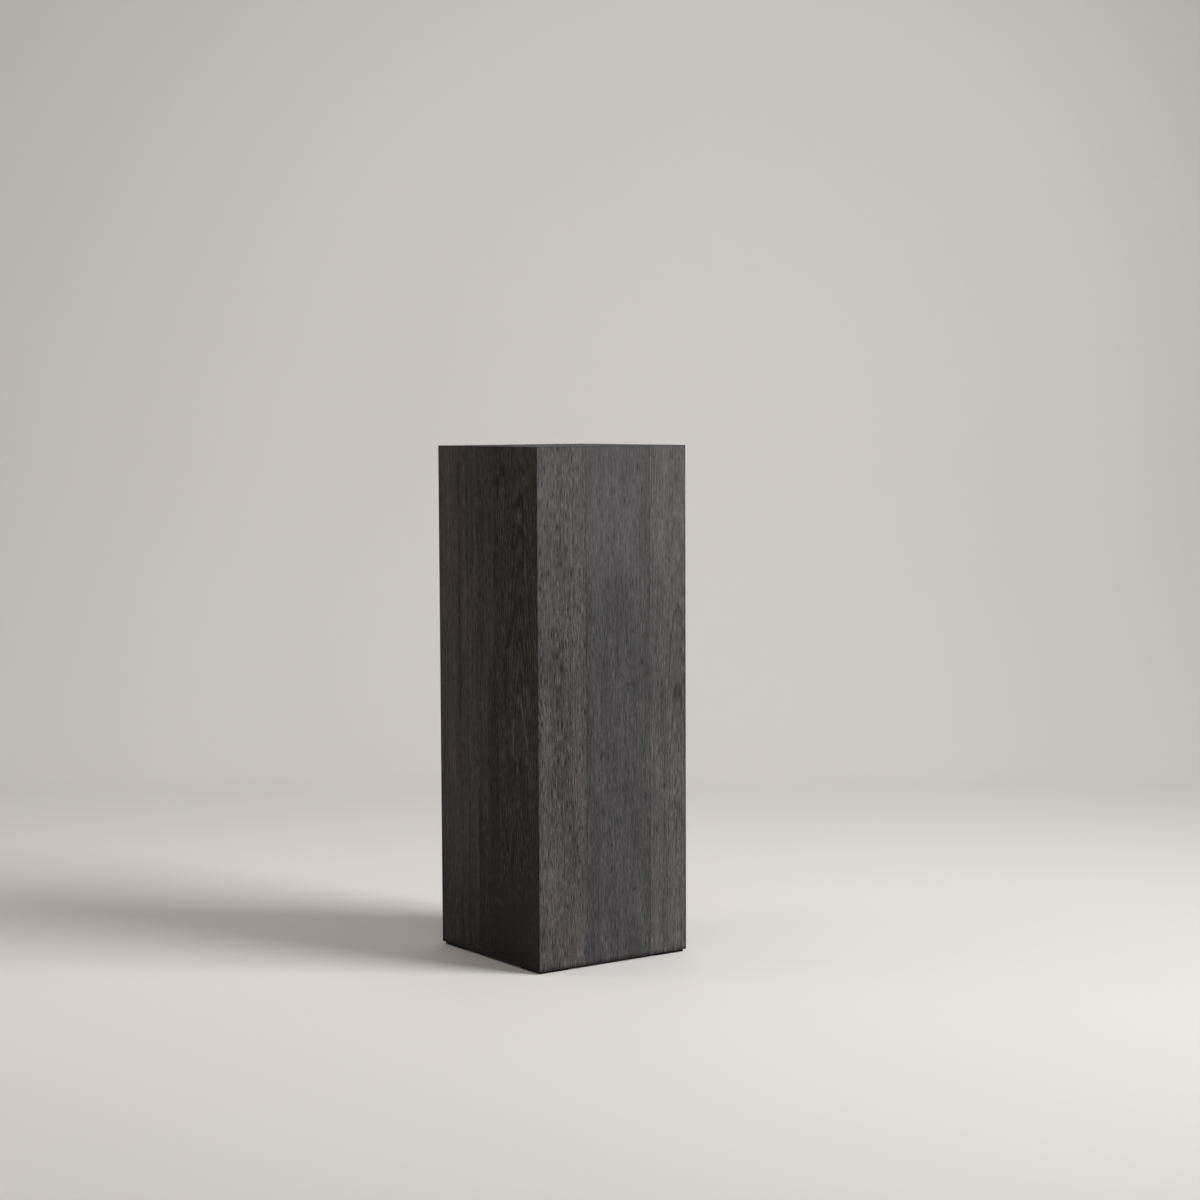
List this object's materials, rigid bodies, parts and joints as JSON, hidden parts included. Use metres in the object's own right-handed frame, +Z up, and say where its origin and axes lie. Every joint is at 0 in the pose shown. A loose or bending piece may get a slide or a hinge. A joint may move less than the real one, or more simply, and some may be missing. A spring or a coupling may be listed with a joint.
{
  "type": "display plinth",
  "caption": "Tall square display plinth: hollow, of mitred edge-glued boards stained black, on low square feet, for showing a vase or sculpture.",
  "frame": {"origin": "centre of the footprint, on the floor under the feet", "axes": "+Z up to the display surface; the front face looks along -Y and the left face along -X"},
  "size_m": [0.35, 0.35, 1],
  "materials": {
    "black_stained_wood": "open-pored hardwood, black stain and a thin matt oil, grain upright",
    "raw_pine": "planed softwood, bare",
    "birch_plywood": "birch plywood, bare, sanded",
    "biscuit_beech": "pressed beech, bare",
    "screw_steel": "zinc-plated, yellow passivated wood screw",
    "foot_rubber": "black moulded rubber, matt"
  },
  "bodies": {
    "root": {"back_base_cleat": "raw_pine", "back_brace_batten": "raw_pine", "back_left_biscuits": "biscuit_beech", "back_left_board": "black_stained_wood", "back_left_foot": "foot_rubber", "back_left_post": "raw_pine", "back_middle_board": "black_stained_wood", "back_right_biscuits": "biscuit_beech", "back_right_board": "black_stained_wood", "back_right_foot": "foot_rubber", "back_right_post": "raw_pine", "back_top_cleat": "raw_pine", "base_board": "birch_plywood", "base_board_screws": "screw_steel", "base_cleat_screws": "screw_steel", "brace_batten_screws": "screw_steel", "brace_board": "birch_plywood", "brace_board_screws": "screw_steel", "foot_screws": "screw_steel", "front_base_cleat": "raw_pine", "front_brace_batten": "raw_pine", "front_left_biscuits": "biscuit_beech", "front_left_board": "black_stained_wood", "front_left_foot": "foot_rubber", "front_left_post": "raw_pine", "front_middle_board": "black_stained_wood", "front_right_biscuits": "biscuit_beech", "front_right_board": "black_stained_wood", "front_right_foot": "foot_rubber", "front_right_post": "raw_pine", "front_top_cleat": "raw_pine", "left_back_board": "black_stained_wood", "left_base_cleat": "raw_pine", "left_brace_batten": "raw_pine", "left_front_board": "black_stained_wood", "left_middle_board": "black_stained_wood", "left_top_cleat": "raw_pine", "post_screws": "screw_steel", "right_back_board": "black_stained_wood", "right_base_cleat": "raw_pine", "right_brace_batten": "raw_pine", "right_front_board": "black_stained_wood", "right_middle_board": "black_stained_wood", "right_top_cleat": "raw_pine", "top_back_biscuits": "biscuit_beech", "top_cleat_screws": "screw_steel", "top_front_biscuits": "biscuit_beech", "top_left_biscuits": "biscuit_beech", "top_left_board": "black_stained_wood", "top_middle_board": "black_stained_wood", "top_right_biscuits": "biscuit_beech", "top_right_board": "black_stained_wood"}
  },
  "joints": []
}
